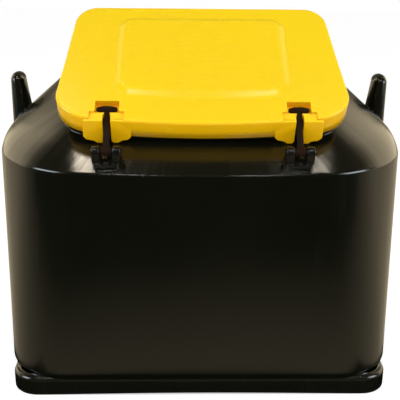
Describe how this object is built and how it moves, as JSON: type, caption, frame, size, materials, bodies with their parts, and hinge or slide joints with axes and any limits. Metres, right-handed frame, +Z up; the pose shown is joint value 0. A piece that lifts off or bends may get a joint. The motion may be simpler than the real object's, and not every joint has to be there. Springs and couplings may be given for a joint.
{
  "type": "bulk storage bin",
  "caption": "Waist-high moulded storage bin with a hipped top, a sloping hinged lid held by rubber draw latches, and an upright horn on each side.",
  "frame": {"origin": "middle of the base, on the floor", "axes": "+X to the right seen from the front, +Y to the back, +Z up"},
  "size_m": [1.13, 0.9618, 1.0239],
  "materials": {
    "body_black": "glossy moulded polyethylene with a faint orange peel",
    "lid_yellow": "semi-gloss moulded polyethylene",
    "latch_rubber": "matt moulded rubber",
    "bracket_black": "satin black",
    "fastener_black": "black-coated steel",
    "steel": "plain zinc-plated steel",
    "insert_brass": "turned brass"
  },
  "bodies": {
    "bin": {"bin_body": "body_black", "left_bracket": "bracket_black", "left_latch_pin": "fastener_black", "left_latch_pin_rings": "fastener_black", "left_bracket_bolts": "fastener_black", "left_bracket_washers": "fastener_black", "left_bracket_inserts": "insert_brass", "left_hinge_pin": "steel", "left_hinge_rings": "steel", "right_bracket": "bracket_black", "right_latch_pin": "fastener_black", "right_latch_pin_rings": "fastener_black", "right_bracket_bolts": "fastener_black", "right_bracket_washers": "fastener_black", "right_bracket_inserts": "insert_brass", "right_hinge_pin": "steel", "right_hinge_rings": "steel"},
    "lid": {"lid": "lid_yellow"},
    "left_latch": {"left_latch": "latch_rubber"},
    "right_latch": {"right_latch": "latch_rubber"}
  },
  "joints": [
    {"name": "lid_hinge", "type": "hinge", "parent": "bin", "child": "lid", "pos_m": [0, -0.01864, 1.00286], "axis": [-1, 0, 0], "range_deg": [0, 140], "deforming": ["left_latch", "right_latch"]},
    {"name": "left_latch_hinge", "type": "hinge", "parent": "bin", "child": "left_latch", "pos_m": [-0.245, -0.44754, 0.70202], "axis": [1, 0, 0], "range_deg": [0, 150]},
    {"name": "right_latch_hinge", "type": "hinge", "parent": "bin", "child": "right_latch", "pos_m": [0.245, -0.44754, 0.70202], "axis": [1, 0, 0], "range_deg": [0, 150]}
  ]
}
